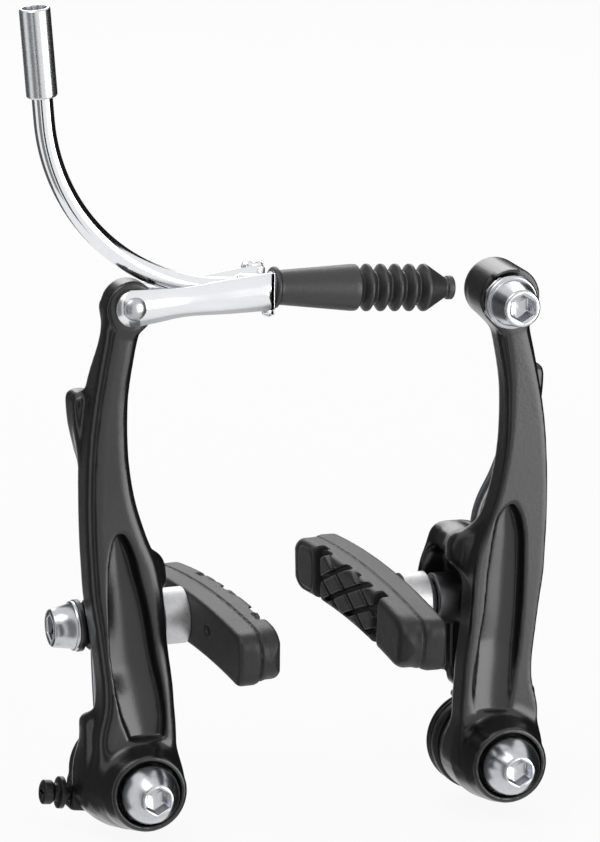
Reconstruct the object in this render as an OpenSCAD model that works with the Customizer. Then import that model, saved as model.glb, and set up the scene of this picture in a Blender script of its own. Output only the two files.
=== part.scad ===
// Linear-pull bicycle brake: two arms, their pivots, springs, pads, cable guide and boot.
// Origin: left pivot axis at the plane where the bushes seat on the frame.
// +X to the right arm, +Y to the frame, +Z up the arms. An arm is drawn about its own pivot.

/* [Frame] */
// Distance between the two frame bosses
boss_spacing = 80; // [70:0.5:96]
// Radius of the boss post that the bush slides over
boss_r = 4; // [3.5:0.05:4.5]
// Radial clearance of a running fit
run_fit = 0.05; // [0.02:0.01:0.1]
// Gap between pieces of different bodies that pass each other
pass_gap = 0.4; // [0.2:0.05:0.8]
// Gap between pieces that are clamped together without flat faces
seat_gap = 0.05; // [0.02:0.01:0.1]

/* [Arms] */
// Height of the right arm's cable anchor above the pivot
anchor_h = 99.4; // [80:0.2:120]
// Height of the left arm's link pin above the pivot
link_pin_h = 103.3; // [82:0.2:124]
// Outward lean of the left arm
left_lean = 1.9; // [0:0.1:4]
// Front face of the beam
beam_front = -19.5; // [-21:0.1:-17]
// Back face of the beam
beam_back = -10.5; // [-13:0.1:-9]
// Wall of the barrel around the pivot bush
barrel_wall = 3.8; // [3:0.1:5]
// Wall of the barrel's front ring around the bolt's head
ring_wall = 1.5; // [1.2:0.1:2.4]
// How far the front ring stands ahead of the bolt's seat
ring_proud = 2; // [0.5:0.1:4]
// Depth of the pocket in the front face
pocket_depth = 3.6; // [1:0.1:5]
// Radius of the right arm's head
anchor_head_r = 6.5; // [6:0.1:8]
// Radius of the left arm's head
link_head_r = 5.3; // [4.8:0.1:6]

/* [Pivots] */
// Length of the pivot bush, from the frame to the bolt's seat
bush_l = 25; // [22:0.1:28]
// Wall of the pivot bush
bush_wall = 1.6; // [1.2:0.05:2]
// Thread radius of the pivot bolt
bolt_r = 3; // [2.5:0.1:3]
// Radius of the pivot bolt's head
bolt_head_r = 6; // [5.2:0.1:6.2]
// Height of the pivot bolt's domed head
bolt_head_h = 6.3; // [4:0.1:8]
// Key size of the hexagon sockets
hex_key = 5; // [4:0.5:5]

/* [Springs] */
// How far the spring housing stands out around the barrel
housing_lip = 0.9; // [0.6:0.1:2]
// Thickness of the spring housing
housing_t = 6; // [5:0.1:6.4]
// Wire radius of the return spring
wire_r = 1; // [0.7:0.05:1.1]
// Height at which the spring hooks on the arm
hook_h = 77; // [72:0.5:80]
// Tilt of the tension screw
screw_tilt = 6; // [0:0.5:12]

/* [Pads] */
// Height of the pad post above the pivot
post_h = 32; // [28:0.2:36]
// Thread radius of the pad post
post_r = 3; // [2.5:0.1:3]
// Length of a pad
pad_l = 72; // [50:0.5:80]
// Height of a pad
pad_h = 11.5; // [9:0.1:14]
// Thickness of a pad
pad_t = 9.7; // [7:0.1:14]
// Distance from the post to the pad's near end
pad_short = 30; // [20:0.5:34]
// Radius of the rim that the pad follows
rim_r = 300; // [260:1:330]
// Distance from the post to the left pad's front end
left_pad_front = 37; // [34:0.5:42]
// Turn of the left pad that lifts its front end
left_pad_turn = 2; // [0:0.05:5]
// Turn of the right pad that lifts its rear end
right_pad_turn = 2.65; // [0:0.05:5]
// Radius of the pad spacers
spacer_r = 6; // [5:0.1:6.2]
// Thickness of the thin cupped washer
thin_cup_t = 2.7; // [2.4:0.1:4]
// Thickness of the thick cupped washer
thick_cup_t = 5.9; // [4.5:0.1:7]
// Thickness of the spacer between the cupped washer and the pad
spacer_t = 7; // [5:0.1:9]
// Length of the pad nut
nut_l = 5.4; // [4:0.1:9]

/* [Link and noodle] */
// Thickness of the link's sheet
sheet_t = 1.2; // [0.8:0.1:1.5]
// Clear width between the link's two sides
link_gap = 6.3; // [5.8:0.1:7]
// Distance from the link pin to the outside of the link's end wall
link_reach = 30.5; // [26:0.1:36]
// Height of the link's end wall
link_end_h = 8; // [7.2:0.1:10]
// Radius of the link's round end
link_end_r = 3.9; // [3.6:0.1:5]
// Centre of the link and the cable, front to back
cable_y = -18.15; // [-19:0.05:-17]
// Height of the noodle's straight end over the link pin, at the end wall
noodle_rise = 1.87; // [1:0.05:2]
// Downward slope of the noodle's straight end
noodle_slope = 3.3; // [0:0.1:6]
// Outside radius of the noodle's tube
tube_r = 2.2; // [2:0.05:2.3]
// Bend radius of the noodle
bend_r = 41; // [36:0.5:46]
// Bend angle of the noodle
bend_a = 81.3; // [70:0.1:90]
// Straight length of the noodle before the bend
noodle_straight = 10.5; // [8:0.1:18]
// Straight length of the noodle's upper end
noodle_tail = 9; // [4:0.1:20]
// Wall of the ferrule around the cable housing
ferrule_wall = 0.75; // [0.5:0.05:1.1]
// Length of the ferrule
ferrule_l = 18.7; // [12:0.1:24]
// Radius of the cable housing that enters the ferrule
casing_r = 2.5; // [2:0.05:2.6]

/* [Boot] */
// Space between the boot's tip and the cable anchor
boot_space = 12.4; // [11:0.2:18]
// Radius of the boot's folds
fold_r = 4.95; // [4.4:0.05:6]
// Radius between the folds
valley_r = 3.5; // [3:0.05:4]
// Distance between two folds
fold_pitch = 3.15; // [2.6:0.05:3.2]
// Wall of the boot
boot_wall = 0.9; // [0.6:0.05:1.1]

/* [Hidden] */
$fn = 48;
eps = 0.01;
big = 60;

// Colours
black_paint = [0.07, 0.07, 0.08];
black_nylon = [0.11, 0.11, 0.12];
black_rubber = [0.15, 0.15, 0.16];
grey_metal = [0.3, 0.3, 0.32];
bright_metal = [0.8, 0.81, 0.83];
wire_metal = [0.55, 0.56, 0.58];
liner_white = [0.9, 0.9, 0.88];

// Pivot radii
bush_r = boss_r + bush_wall;
barrel_r = bush_r + barrel_wall;
ring_r = max(bolt_head_r + ring_wall, bush_r + ring_wall);
housing_r = barrel_r + housing_lip;
key_r = hex_key / 2 / cos(30);

// Pivot stations along Y, from the frame forward
bolt_seat = -bush_l;
ring_front = bolt_seat - ring_proud;
housing_back = -0.6;
housing_front = housing_back - housing_t;
barrel_back = housing_front - pass_gap;
bore_r = bush_r + run_fit;
boss_bore_r = boss_r + run_fit;
sink_r = ring_r - 1;

// The beam's outline: share of the height to the head, outer edge, inner edge
beam_outline = [
    [0.00, -8.4, 8.4], [0.10, -8.8, 8.5], [0.16, -7.5, 8.2], [0.21, -7.3, 7.9], [0.28, -8.0, 7.1],
    [0.34, -8.7, 6.7], [0.40, -9.5, 6.3], [0.46, -9.8, 5.2], [0.52, -10.0, 2.9], [0.59, -10.0, 0.8],
    [0.66, -9.8, -0.4], [0.72, -9.4, -0.8], [0.77, -8.8, -0.8], [0.82, -8.0, -0.5],
    [0.88, -6.9, 0.5], [0.94, -5.7, 1.9], [1.00, -5.3, 4.4]
];
// The pocket's outline: share of the height to the head, outer edge, inner edge
pocket_outline = [
    [0.097, -3.5, 5.0], [0.13, -4.5, 4.9], [0.17, -5.2, 4.5], [0.25, -6.4, 2.9], [0.34, -6.9, 1.4],
    [0.43, -6.4, 0.1], [0.50, -5.4, -1.2], [0.55, -4.1, -2.9]
];
curve_steps = 3;

function catmull(a, b, c, d, t) = 0.5 * (2 * b + (c - a) * t
    + (2 * a - 5 * b + 4 * c - d) * t * t + (3 * b - a - 3 * c + d) * t * t * t);
function smooth(p) = let (last = len(p) - 1) concat(
    [for (i = [0 : last - 1], s = [0 : curve_steps - 1])
        catmull(p[max(i - 1, 0)], p[i], p[i + 1], p[min(i + 2, last)], s / curve_steps)],
    [p[last]]);
function reversed(p) = [for (i = [len(p) - 1 : -1 : 0]) p[i]];
// Closed outline between the outer and the inner edge, in X and Z
function band(rows, height) = let (p = smooth(rows)) concat(
    [for (r = p) [r[1], r[0] * height]], reversed([for (r = p) [r[2], r[0] * height]]));

// Extrudes an X-Z outline from depth y0 to depth y1
module slab(y0, y1) {
    translate([0, y1, 0]) rotate([90, 0, 0]) linear_extrude(y1 - y0) children();
}
// Extrudes a Y-Z outline across the arm
module across(width) {
    rotate([90, 0, 90]) linear_extrude(width, center = true) children();
}
// Cylinder along Y from y0 to y1
module rod_y(r, y0, y1, r_front = -1) {
    translate([0, y1, 0]) rotate([90, 0, 0]) cylinder(y1 - y0, r, r_front < 0 ? r : r_front);
}
// Cylinder along X from x0 to x1
module rod_x(r, x0, x1, r_far = -1) {
    translate([x0, 0, 0]) rotate([0, 90, 0]) cylinder(x1 - x0, r, r_far < 0 ? r : r_far);
}
// Turns an [r, y] outline about the Y axis
module turned_y(points) {
    rotate([90, 0, 0]) rotate_extrude() polygon([for (p = points) [p[0], -p[1]]]);
}
// Turns an [r, x] outline about the X axis
module turned_x(points) {
    rotate([0, 90, 0]) rotate_extrude() polygon(points);
}
// Hexagon socket along Y, opening forward at y0
module hex_socket(y0, depth) {
    translate([0, y0 + depth, 0]) rotate([90, 0, 0]) cylinder(depth + 1, key_r, key_r, $fn = 6);
}
// Leans the left arm's pieces outward
module left_side() {
    rotate([0, -left_lean, 0]) children();
}
// Mirrors an arm's pieces to the right boss
module right_side() {
    translate([boss_spacing, 0, 0]) mirror([1, 0, 0]) children();
}

// Arms
head_front = cable_y + 0.15;
tongue_front = cable_y - link_gap / 2 + 0.2;
tongue_back = cable_y + link_gap / 2 - 0.2;
anchor_head_back = -6;
seat_x = 5;
outer_seat_x = -0.6;
post_y = beam_back + spacer_r + 0.5;
plate_back = post_y + spacer_r;
plate_bottom = housing_r + 1.2;
plate_top = post_h + 14.5;
wall_front = plate_back + pass_gap;
wall_back = wall_front + 2.2;
wall_start = outer_seat_x + 1.1;
wall_x = 11.2;
slot_r = post_r + 0.3;
slot_travel = 6;
roof_t = 4.5;
tab_w = 5;

module beam(head_h, top_front, top_back) {
    intersection() {
        slab(beam_front - 4, 0) polygon(band(beam_outline, head_h));
        across(big) polygon([
            [beam_front, 0], [beam_front, head_h * 0.6], [top_front, head_h * 0.93],
            [top_front, head_h + 1], [top_back, head_h + 1], [top_back, head_h * 0.93],
            [beam_back, head_h * 0.83], [beam_back, 0]]);
    }
}
module pocket(head_h) {
    low = head_h * pocket_outline[0][0];
    high = head_h * 0.56;
    intersection() {
        slab(beam_front - 2, beam_back) polygon(band(pocket_outline, head_h));
        across(big) polygon([
            [beam_front - 2, low - 1], [beam_front, low], [beam_front + pocket_depth, low + 13],
            [beam_front + pocket_depth, high], [beam_front - 2, high]]);
    }
}
module barrel() {
    turned_y([
        [0, barrel_back], [barrel_r, barrel_back], [barrel_r, beam_front + 4],
        [ring_r + 0.9, ring_front + 4], [ring_r, ring_front + 1.2], [ring_r - 0.3, ring_front],
        [0, ring_front]]);
}
// Flange that the pad is clamped to: plate, shelf over the washers and wall behind them
module pad_mount() {
    slab(beam_back - 2, plate_back) polygon([
        [outer_seat_x, plate_bottom], [seat_x, plate_bottom], [seat_x, plate_top],
        [outer_seat_x + 3, plate_top], [outer_seat_x, plate_top - 6]]);
    slab(wall_front, wall_back) polygon([
        [wall_start, plate_bottom + 2], [seat_x + 2.5, plate_bottom + 2],
        [wall_x, plate_bottom + 8], [wall_x, plate_top - 6.5], [seat_x + 2.3, plate_top],
        [wall_start + 2, plate_top], [wall_start, plate_top - 6]]);
    slab(plate_back - eps, wall_front + eps) polygon([
        [wall_start, plate_bottom + 2], [seat_x, plate_bottom + 2],
        [seat_x, plate_top - 2], [wall_start + 2, plate_top - 2], [wall_start, plate_top - 6]]);
    slab(post_y - 6.5, wall_back) polygon([
        [seat_x - 2, plate_top - roof_t], [seat_x + 3.6, plate_top - roof_t],
        [seat_x + 2.3, plate_top], [seat_x - 2, plate_top]]);
}
module pad_slot() {
    translate([0, post_y, post_h]) rod_x(slot_r, -big / 2, big / 2);
    translate([0, post_y, post_h - slot_travel * 2.5]) rod_x(slot_r, -big / 2, big / 2);
    translate([-big / 2, post_y - slot_r, post_h - slot_travel * 2.5])
        cube([big, slot_r * 2, slot_travel * 2.5]);
}
module spring_tab() {
    difference() {
        slab(beam_back - 2, beam_back + tab_w) polygon([
            [-4, hook_h - 9], [-8.6, hook_h - 8], [-10.6, hook_h - 1], [-10.6, hook_h + 4],
            [-9.4, hook_h + 7], [-4, hook_h + 7]]);
        translate([-5.4, 0, 0]) slab(beam_back, 0) square([10, big * 2]);
    }
}
// Arm with its beam cut to its own head, which is the first child; the second child is bored out
module arm(head_h, beam_top_front, beam_top_back) {
    difference() {
        union() {
            beam(head_h, beam_top_front, beam_top_back);
            translate([0, 0, head_h]) children(0);
            barrel();
            pad_mount();
            spring_tab();
        }
        pocket(head_h);
        translate([0, 0, head_h]) children(1);
        rod_y(bore_r, -big, big);
        rod_y(sink_r, -big, bolt_seat + 0.2);
        pad_slot();
        rod_y(housing_r + pass_gap, barrel_back, big);
    }
}
rivet_r = 1.9;
anchor_r = 3;
hood_r = 6.1;
hood_proud = 2.5;
module left_arm() {
    color(black_paint) left_side() arm(link_pin_h, tongue_front, tongue_back) {
        rod_y(link_head_r, tongue_front, tongue_back);
        rod_y(rivet_r + run_fit, -big / 2, 0);
    }
}
module right_arm() {
    color(black_paint) right_side() arm(anchor_h, head_front, beam_back) {
        translate([-0.7, 0, 0.4]) rod_y(anchor_head_r, head_front - hood_proud, anchor_head_back);
        union() {
            rod_y(anchor_r + run_fit, -big / 2, 0);
            rod_y(hood_r, -big / 2, head_front);
            slab(-big / 2, head_front) polygon([[0, 0], [20, 7], [20, -20], [-9, -20], [-9, -6]]);
        }
    }
}

// Pivot hardware
module pivot_bush() {
    color(wire_metal) difference() {
        rod_y(bush_r, bolt_seat, 0);
        rod_y(boss_bore_r, bolt_seat - 1, 1);
    }
}
module pivot_bolt() {
    dome_front = bolt_seat - bolt_head_h;
    color(bright_metal) difference() {
        turned_y([
            [0, 0.5], [bolt_r - 0.5, 0.5], [bolt_r, 0], [bolt_r, bolt_seat], [bolt_head_r, bolt_seat],
            [bolt_head_r, bolt_seat - 1], [bolt_head_r * 0.95, bolt_seat - bolt_head_h * 0.35],
            [bolt_head_r * 0.84, bolt_seat - bolt_head_h * 0.6],
            [bolt_head_r * 0.68, bolt_seat - bolt_head_h * 0.84],
            [key_r + 0.4, dome_front], [0, dome_front]]);
        hex_socket(dome_front, 3.5);
    }
}
wire_x = wire_r + 0.6;
wire_z = (bush_r + housing_r) / 2 + 0.2;
wire_y = wall_back + wire_r + 0.4;
tang_l = 5.5;
pocket_y = housing_front + 1.6;
module housing(with_lug) {
    color(black_nylon) difference() {
        union() {
            turned_y([
                [0, housing_front], [housing_r - 0.7, housing_front], [housing_r, housing_front + 0.7],
                [housing_r, housing_front + 2.8], [housing_r - 0.4, housing_front + 3.1],
                [housing_r, housing_front + 3.4], [housing_r, housing_back], [0, housing_back]]);
            if (with_lug) translate([-9, post_y, lug_z]) rotate([0, screw_tilt, 0])
                translate([-2.2, -2.6, -3.4]) cube([6, 5.2, 6.8]);
        }
        rod_y(bush_r + run_fit, -big / 2, big / 2);
        translate([-wire_x - wire_r - 0.1, pocket_y, wire_z - wire_r - 0.1])
            cube([2 * (wire_x + wire_r + 0.1), big, 2 * (wire_r + 0.1)]);
        if (with_lug) screw_place() rod_x(screw_r + run_fit, -big / 2, screw_hole_end);
    }
}
function unit(v) = v / norm(v);
// Ring of points around path point i, at radius r
function ring(path, i, r, sides) = let (
        t = unit(path[min(i + 1, len(path) - 1)] - path[max(i - 1, 0)]),
        u = unit(cross(t, [0.8, 0.5, 0.33])), v = cross(t, u))
    [for (k = [0 : sides - 1]) path[i] + r * (cos(360 * k / sides) * u + sin(360 * k / sides) * v)];
// Round wire along a path
module wire(path, r, sides) {
    n = len(path);
    polyhedron(
        [for (i = [0 : n - 1]) each ring(path, i, r, sides)],
        concat(
            [for (i = [0 : n - 2], k = [0 : sides - 1]) let (a = i * sides, m = (k + 1) % sides)
                [a + k, a + sides + k, a + sides + m, a + m]],
            [[for (k = [0 : sides - 1]) k]],
            [[for (k = [sides - 1 : -1 : 0]) (n - 1) * sides + k]]));
}
// Point of a leaning arm
function leaned(p, lean) = [
    p[0] * cos(lean) - p[2] * sin(lean), p[1], p[0] * sin(lean) + p[2] * cos(lean)];
module return_spring(lean) {
    hook_y = beam_back + tab_w + wire_r + 0.5;
    u_y = pocket_y + wire_r + 0.2;
    color(wire_metal) wire(smooth([
        [wire_x, tang_l, wire_z], [wire_x, u_y + 1.2, wire_z], [wire_x - 0.6, u_y, wire_z],
        [0.6 - wire_x, u_y, wire_z], [-wire_x, u_y + 1.2, wire_z],
        [-wire_x, wire_y - 1.2, wire_z], [-wire_x, wire_y, wire_z + 1.4],
        leaned([-1.6, wire_y, post_h - 12], lean), leaned([-1.7, wire_y, post_h + 2], lean),
        leaned([-2.4, wire_y - 1, hook_h - 29], lean), leaned([-4.6, 0.5, hook_h - 19], lean),
        leaned([-6.3, hook_y + 0.8, hook_h - 10], lean), leaned([-7.6, hook_y, hook_h - 5], lean),
        leaned([-7.6, hook_y, hook_h + 4], lean)]),
        wire_r, 10);
}
lug_z = -4.8;
screw_r = 1.5;
screw_hole_end = 3;
module screw_place() {
    translate([-9, post_y, lug_z]) rotate([0, screw_tilt, 0]) children();
}
module spring_tension_screw() {
    head_x = -8.2;
    color(black_nylon) screw_place() difference() {
        turned_x([
            [0, head_x], [2.1, head_x], [2.6, head_x + 0.4], [2.6, head_x + 2], [1.9, head_x + 2.4],
            [1.9, head_x + 3.6], [3.4, head_x + 3.6], [3.4, head_x + 4.8], [screw_r, head_x + 5.2],
            [screw_r, screw_hole_end - 0.6], [screw_r - 0.5, screw_hole_end - 0.1],
            [0, screw_hole_end - 0.1]]);
        translate([head_x - 1, -1.6, -0.35]) cube([2.2, 3.2, 0.7]);
        translate([head_x - 1, -0.35, -1.6]) cube([2.2, 0.7, 3.2]);
    }
}

// Cable anchor on the right arm
plate_t = 1.8;
flange_t = 1.4;
anchor_head_h = 6.1;
module at_anchor() {
    right_side() translate([0, 0, anchor_h]) children();
}
module anchor_washer() {
    color(bright_metal) at_anchor() difference() {
        slab(head_front - plate_t, head_front) polygon([
            [-2.6, -5.2], [2.6, -5.2], [5.2, -2.6], [5.2, 2.6], [2.6, 5.2], [-2.6, 5.2],
            [-5.2, 2.6], [-5.2, -2.6]]);
        rod_y(anchor_r + 0.15, -big, 0);
    }
}
module anchor_bolt() {
    seat = head_front - plate_t;
    flange_front = seat - flange_t;
    end = flange_front - anchor_head_h;
    color(bright_metal) at_anchor() difference() {
        turned_y([
            [0, anchor_head_back + 0.5], [anchor_r - 0.5, anchor_head_back + 0.5],
            [anchor_r, anchor_head_back], [anchor_r, seat], [5.5, seat], [5.75, seat - 0.3],
            [5.75, flange_front + 0.4], [5.35, flange_front], [4.9, flange_front],
            [key_r + 1.1, end + 0.4], [key_r + 0.75, end], [0, end]]);
        hex_socket(end, 4);
    }
}

// Pads and what clamps them. Stations along X, from the arm inward and outward.
outer_spacer_t = 2.6;
dish = 1.3;
dish_r = 7;
stud_plate_t = 2;
stud_plate_h = 8;
stud_plate_l = 24;
nut_wall_t = 1.6;
function nut_face(outer_cup_t) = outer_seat_x - outer_cup_t - outer_spacer_t;
module at_post() {
    translate([0, post_y, post_h]) children();
}
// Cupped washer whose hollow faces +X
module cup(x0, t) {
    rim = x0 + t;
    difference() {
        turned_x([[0, x0], [spacer_r - 0.5, x0], [spacer_r - 0.5, rim - 0.4], [spacer_r - 0.9, rim],
            [0, rim]]);
        translate([rim - dish + dish_r, 0, 0]) sphere(dish_r, $fn = 64);
        rod_x(post_r + 0.7, x0 - 1, rim + 1);
    }
}
// Spacer whose domed face sits in the cup on its -X side
module spacer(x0, t, r) {
    crown = dish_r - seat_gap;
    difference() {
        union() {
            rod_x(r, x0 + dish, x0 + dish + t - dish);
            intersection() {
                translate([x0 - dish + dish_r, 0, 0]) sphere(crown, $fn = 64);
                rod_x(r - 1.4, x0 - 3, x0 + dish + 0.5);
            }
        }
        rod_x(post_r + 0.3, x0 - 4, x0 + t + 1);
    }
}
module pad_arc(half_t, half_h, turn_from, turn_to) {
    translate([0, 0, -rim_r]) rotate([0, -90, 0]) rotate([0, 0, turn_from])
        rotate_extrude(angle = turn_to - turn_from, $fn = 360)
            translate([rim_r - half_h, -half_t]) square([half_h * 2, half_t * 2]);
}
function arc_turn(l) = l / rim_r * 180 / PI;
// Pad with its back at x0; the short end points to +Y
module pad(x0, short = pad_short) {
    color(black_rubber) difference() {
        translate([x0 + pad_t / 2, 0, 0]) intersection() {
            pad_arc(pad_t / 2, pad_h / 2, -arc_turn(pad_l - short), arc_turn(short));
            translate([-pad_t / 2, -(pad_l - short), -big / 2]) cube([pad_t, pad_l, big]);
        }
        translate([x0 - eps, -stud_plate_l / 2 - seat_gap, -stud_plate_h / 2 - seat_gap])
            cube([stud_plate_t + seat_gap + eps, stud_plate_l + 2 * seat_gap,
                stud_plate_h + 2 * seat_gap]);
    }
}
module pad_stud(x0, outer_cup_t) {
    color(wire_metal) {
        translate([x0, -stud_plate_l / 2, -stud_plate_h / 2])
            cube([stud_plate_t, stud_plate_l, stud_plate_h]);
        rod_x(post_r, nut_face(outer_cup_t) - nut_l + nut_wall_t, x0 + eps);
    }
}
module pad_nut(outer_cup_t) {
    x1 = nut_face(outer_cup_t);
    end = x1 - nut_l;
    color(bright_metal) at_post() difference() {
        turned_x([[0, end], [key_r + 0.8, end], [key_r + 1.2, end + 0.4], [spacer_r - 1.2, x1 - 0.8],
            [spacer_r - 0.7, x1 - 0.8], [spacer_r - 0.7, x1], [0, x1]]);
        rod_x(post_r + run_fit, end + nut_wall_t - run_fit, x1 + 1);
        translate([end - 1, 0, 0]) rotate([0, 90, 0]) cylinder(nut_wall_t + 1, key_r, key_r, $fn = 6);
    }
}
left_pad_x = seat_x + thin_cup_t + spacer_t;
right_pad_x = seat_x + thick_cup_t + spacer_t;
module at_left_pad() {
    left_side() at_post() rotate([-left_pad_turn, 0, 0]) children();
}
module at_right_pad() {
    right_side() at_post() rotate([right_pad_turn, 0, 0]) children();
}
module inner_cup(cup_t) { color(grey_metal) at_post() cup(seat_x, cup_t); }
module inner_spacer(cup_t) { color(bright_metal) at_post() spacer(seat_x + cup_t, spacer_t, spacer_r); }
module outer_cup(cup_t) { color(grey_metal) at_post() mirror([1, 0, 0]) cup(-outer_seat_x, cup_t); }
module outer_spacer(cup_t) {
    color(grey_metal) at_post() mirror([1, 0, 0])
        spacer(-outer_seat_x + cup_t, outer_spacer_t, spacer_r - 0.5);
}

// Link, noodle and boot, drawn from the link pin
pin_x = -link_pin_h * sin(left_lean);
pin_z = link_pin_h * cos(left_lean);
side_front = cable_y - link_gap / 2 - sheet_t;
side_back = cable_y + link_gap / 2 + sheet_t;
module at_link() {
    translate([pin_x, 0, pin_z]) children();
}
// Frame of the noodle: x runs along its straight end from the link's end wall, z is across it
module at_noodle() {
    at_link() translate([link_reach, cable_y, noodle_rise]) rotate([0, noodle_slope, 0]) children();
}
module link_outline() {
    waist_x = 11.5;
    top = noodle_rise + link_end_h / 2;
    bottom = noodle_rise - link_end_h / 2;
    upper = smooth([[0, link_end_r], [waist_x * 0.45, 3.8], [waist_x, 3.8], [waist_x * 1.8, 4.9],
        [link_reach, top]]);
    lower = smooth([[0, -link_end_r], [waist_x * 0.45, -3.1], [waist_x, -2.2],
        [waist_x * 1.8, -2.2], [link_reach, bottom]]);
    circle(link_end_r);
    polygon(concat(upper, reversed(lower)));
}
nose_r = tube_r + 0.25;
collar_r = tube_r + 0.8;
module link() {
    top = noodle_rise + link_end_h / 2;
    color(bright_metal) difference() {
        at_link() union() {
            slab(side_front, side_front + sheet_t) link_outline();
            slab(side_back - sheet_t, side_back) link_outline();
            translate([link_reach - sheet_t, side_front, noodle_rise - link_end_h / 2])
                cube([sheet_t, side_back - side_front, link_end_h]);
        }
        at_link() rod_y(rivet_r + 0.02, -big, 0);
        at_noodle() rod_x(nose_r + 0.1, -4, 4);
        at_link() translate([link_reach - 3, cable_y - nose_r + 0.1, noodle_rise])
            cube([6, 2 * nose_r - 0.2, top + 4]);
    }
}
module link_rivet() {
    dome_r = 2.3;
    color(bright_metal) at_link() turned_y([
        [0, side_front - 1.4], [dome_r * 0.6, side_front - 1.15], [dome_r * 0.92, side_front - 0.6],
        [dome_r, side_front], [rivet_r, side_front], [rivet_r, side_back], [dome_r, side_back],
        [dome_r * 0.8, side_back + 0.7], [0, side_back + 0.7]]);
}
nose_back = 7;
bend_steps = 12;
// Centre line of the noodle, from the nose up, in the noodle's frame
function noodle_path(from, tail) = concat(
    [[-from, 0, 0]],
    [for (i = [0 : bend_steps]) let (a = bend_a * i / bend_steps)
        [-noodle_straight - bend_r * sin(a), 0, bend_r * (1 - cos(a))]],
    [[-noodle_straight - bend_r * sin(bend_a) - tail * cos(bend_a), 0,
        bend_r * (1 - cos(bend_a)) + tail * sin(bend_a)]]);
// Hollow tube along a path
module hollow_wire(path, r_out, r_in, sides) {
    n = len(path);
    inner = n * sides;
    polyhedron(
        concat([for (i = [0 : n - 1]) each ring(path, i, r_out, sides)],
            [for (i = [0 : n - 1]) each ring(path, i, r_in, sides)]),
        concat(
            [for (i = [0 : n - 2], k = [0 : sides - 1]) let (a = i * sides, m = (k + 1) % sides)
                [a + k, a + sides + k, a + sides + m, a + m]],
            [for (i = [0 : n - 2], k = [0 : sides - 1])
                let (a = inner + i * sides, m = (k + 1) % sides)
                [a + k, a + m, a + sides + m, a + sides + k]],
            [for (k = [0 : sides - 1]) let (m = (k + 1) % sides)
                [k, m, inner + m, inner + k]],
            [for (k = [0 : sides - 1]) let (a = (n - 1) * sides, m = (k + 1) % sides)
                [a + m, a + k, inner + a + k, inner + a + m]]));
}
tube_sides = 20;
liner_r = tube_r - 0.7;
module noodle_tube() {
    color(bright_metal) at_noodle()
        hollow_wire(noodle_path(4, noodle_tail), tube_r, liner_r + run_fit, tube_sides);
}
module noodle_liner() {
    color(liner_white) at_noodle() hollow_wire(noodle_path(4, noodle_tail), liner_r, 0.9, 12);
}
ferrule_r = casing_r + ferrule_wall;
module noodle_ferrule() {
    tube_in = 4;
    color(bright_metal) at_noodle()
        translate([-noodle_straight, 0, bend_r]) rotate([0, bend_a, 0])
        translate([-noodle_tail + tube_in, 0, -bend_r]) mirror([1, 0, 0]) turned_x([
            [tube_r + run_fit, 0], [ferrule_r - 0.4, 0], [ferrule_r, 0.4],
            [ferrule_r, ferrule_l - 0.3], [ferrule_r - 0.3, ferrule_l],
            [casing_r + run_fit, ferrule_l], [casing_r + run_fit, tube_in + 1.5],
            [1, tube_in + 1.5], [1, tube_in + 0.1], [tube_r + run_fit, tube_in + 0.1]]);
}
module noodle_nose() {
    color(bright_metal) at_noodle() difference() {
        turned_x([[0, -nose_back], [collar_r - 0.3, -nose_back], [collar_r, -nose_back + 0.6],
            [collar_r, -sheet_t - 0.3], [nose_r, -sheet_t - 0.3], [nose_r, 4], [1.8, 7], [0, 7]]);
        rod_x(0.9, -nose_back - 1, 9);
        rod_x(tube_r + run_fit, -nose_back - 1, -3.9);
    }
}
collar_gap = 0.5;
tip_hole_r = 1.1;
boot_folds = 5;
boot_l = boss_spacing - boot_space - pin_x - link_reach - collar_gap;
module boot() {
    first = boot_l - 19.1;
    cone_end = boot_l - 1.7;
    folds = [for (i = [0 : boot_folds - 1]) each [
        [fold_r, first + i * fold_pitch - 0.4], [fold_r, first + i * fold_pitch + 0.4],
        if (i < boot_folds - 1) [valley_r, first + (i + 0.4) * fold_pitch + 0.3],
        if (i < boot_folds - 1) [valley_r, first + (i + 0.6) * fold_pitch - 0.3]]];
    outside = concat(
        [[4.1, 0], [4.3, 0.5], [4.3, 2.2], [3.7, 2.8], [fold_r - 0.1, first - 2.4],
            [valley_r, first - 1.4]], folds, [[2.15, cone_end], [2.5, cone_end], [2.5, boot_l]]);
    inside = [
        [tip_hole_r, boot_l], [tip_hole_r, cone_end - 1], [valley_r - boot_wall, first + 13],
        [valley_r - boot_wall, first - 1], [fold_r - boot_wall - 0.6, first - 4],
        [nose_r + seat_gap, 6], [nose_r + seat_gap, 0]];
    color(black_rubber) at_noodle() translate([collar_gap, 0, 0]) turned_x(concat(outside, inside));
}

left_arm();
right_arm();
pivot_bush();  // left_pivot_bush
right_side() pivot_bush();  // right_pivot_bush
pivot_bolt();  // left_pivot_bolt
right_side() pivot_bolt();  // right_pivot_bolt
housing(true);  // left_spring_housing
right_side() housing(false);  // right_spring_housing
return_spring(left_lean);  // left_return_spring
right_side() return_spring(0);  // right_return_spring
spring_tension_screw();
link();
link_rivet();
noodle_tube();
noodle_liner();
noodle_ferrule();
noodle_nose();
boot();
anchor_bolt();
anchor_washer();
at_left_pad() pad(left_pad_x, pad_l - left_pad_front);  // left_pad
at_right_pad() mirror([0, 1, 0]) pad(right_pad_x);  // right_pad
at_left_pad() pad_stud(left_pad_x, thick_cup_t);  // left_pad_stud
at_right_pad() pad_stud(right_pad_x, thin_cup_t);  // right_pad_stud
left_side() inner_cup(thin_cup_t);  // left_inner_cup
right_side() inner_cup(thick_cup_t);  // right_inner_cup
left_side() inner_spacer(thin_cup_t);  // left_inner_spacer
right_side() inner_spacer(thick_cup_t);  // right_inner_spacer
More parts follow.
